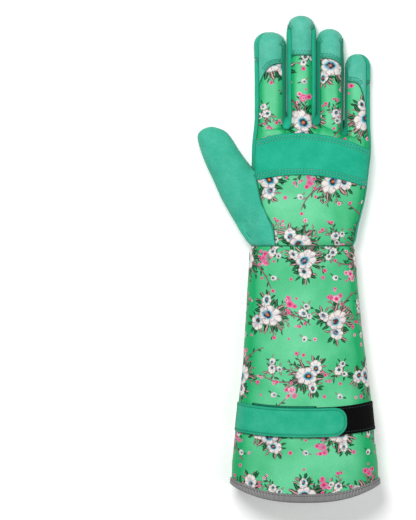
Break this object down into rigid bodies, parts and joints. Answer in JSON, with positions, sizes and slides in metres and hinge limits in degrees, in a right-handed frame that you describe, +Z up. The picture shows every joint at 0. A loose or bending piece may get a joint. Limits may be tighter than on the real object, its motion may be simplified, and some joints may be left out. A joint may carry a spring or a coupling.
{
  "type": "rose pruning gauntlet",
  "caption": "Long-cuffed leather and cloth pruning glove for a right hand, palm down, open at the flared cuff, with knuckle band, padded palm and a strap across the cuff.",
  "frame": {"origin": "centre of the bounding box's bottom face, on the surface that the glove lies on", "axes": "+X to the little finger's side, +Y to the fingertips, +Z up through the back of the hand"},
  "size_m": [0.1558, 0.4136, 0.0553],
  "materials": {
    "goat_leather": "matte suede-like teal leather",
    "goat_leather_worn": "matte pale teal leather",
    "printed_satin": "green woven satin with a floral print",
    "black_touch_leather": "smooth black leather",
    "black_loop_pile": "black loop fastening pile",
    "grey_braid": "grey ribbed braid"
  },
  "bodies": {
    "root": {"back_panel": "printed_satin", "palm_panel": "goat_leather", "thumb_back": "goat_leather_worn", "fourchette_index_middle": "goat_leather", "fourchette_middle_ring": "goat_leather", "fourchette_ring_little": "goat_leather", "tip_cap_index": "goat_leather_worn", "tip_cap_middle": "goat_leather_worn", "tip_cap_ring": "goat_leather_worn", "tip_cap_little": "goat_leather_worn", "touch_tip_thumb": "black_touch_leather", "touch_tip_index": "black_touch_leather", "touch_tip_middle": "black_touch_leather", "tip_panel_ring": "goat_leather", "tip_panel_little": "goat_leather", "palm_pad": "goat_leather", "knuckle_band": "goat_leather", "cuff": "printed_satin", "hem_binding": "grey_braid", "strap_base": "goat_leather", "loop_patch": "black_loop_pile", "strap_tab": "goat_leather"}
  },
  "joints": []
}
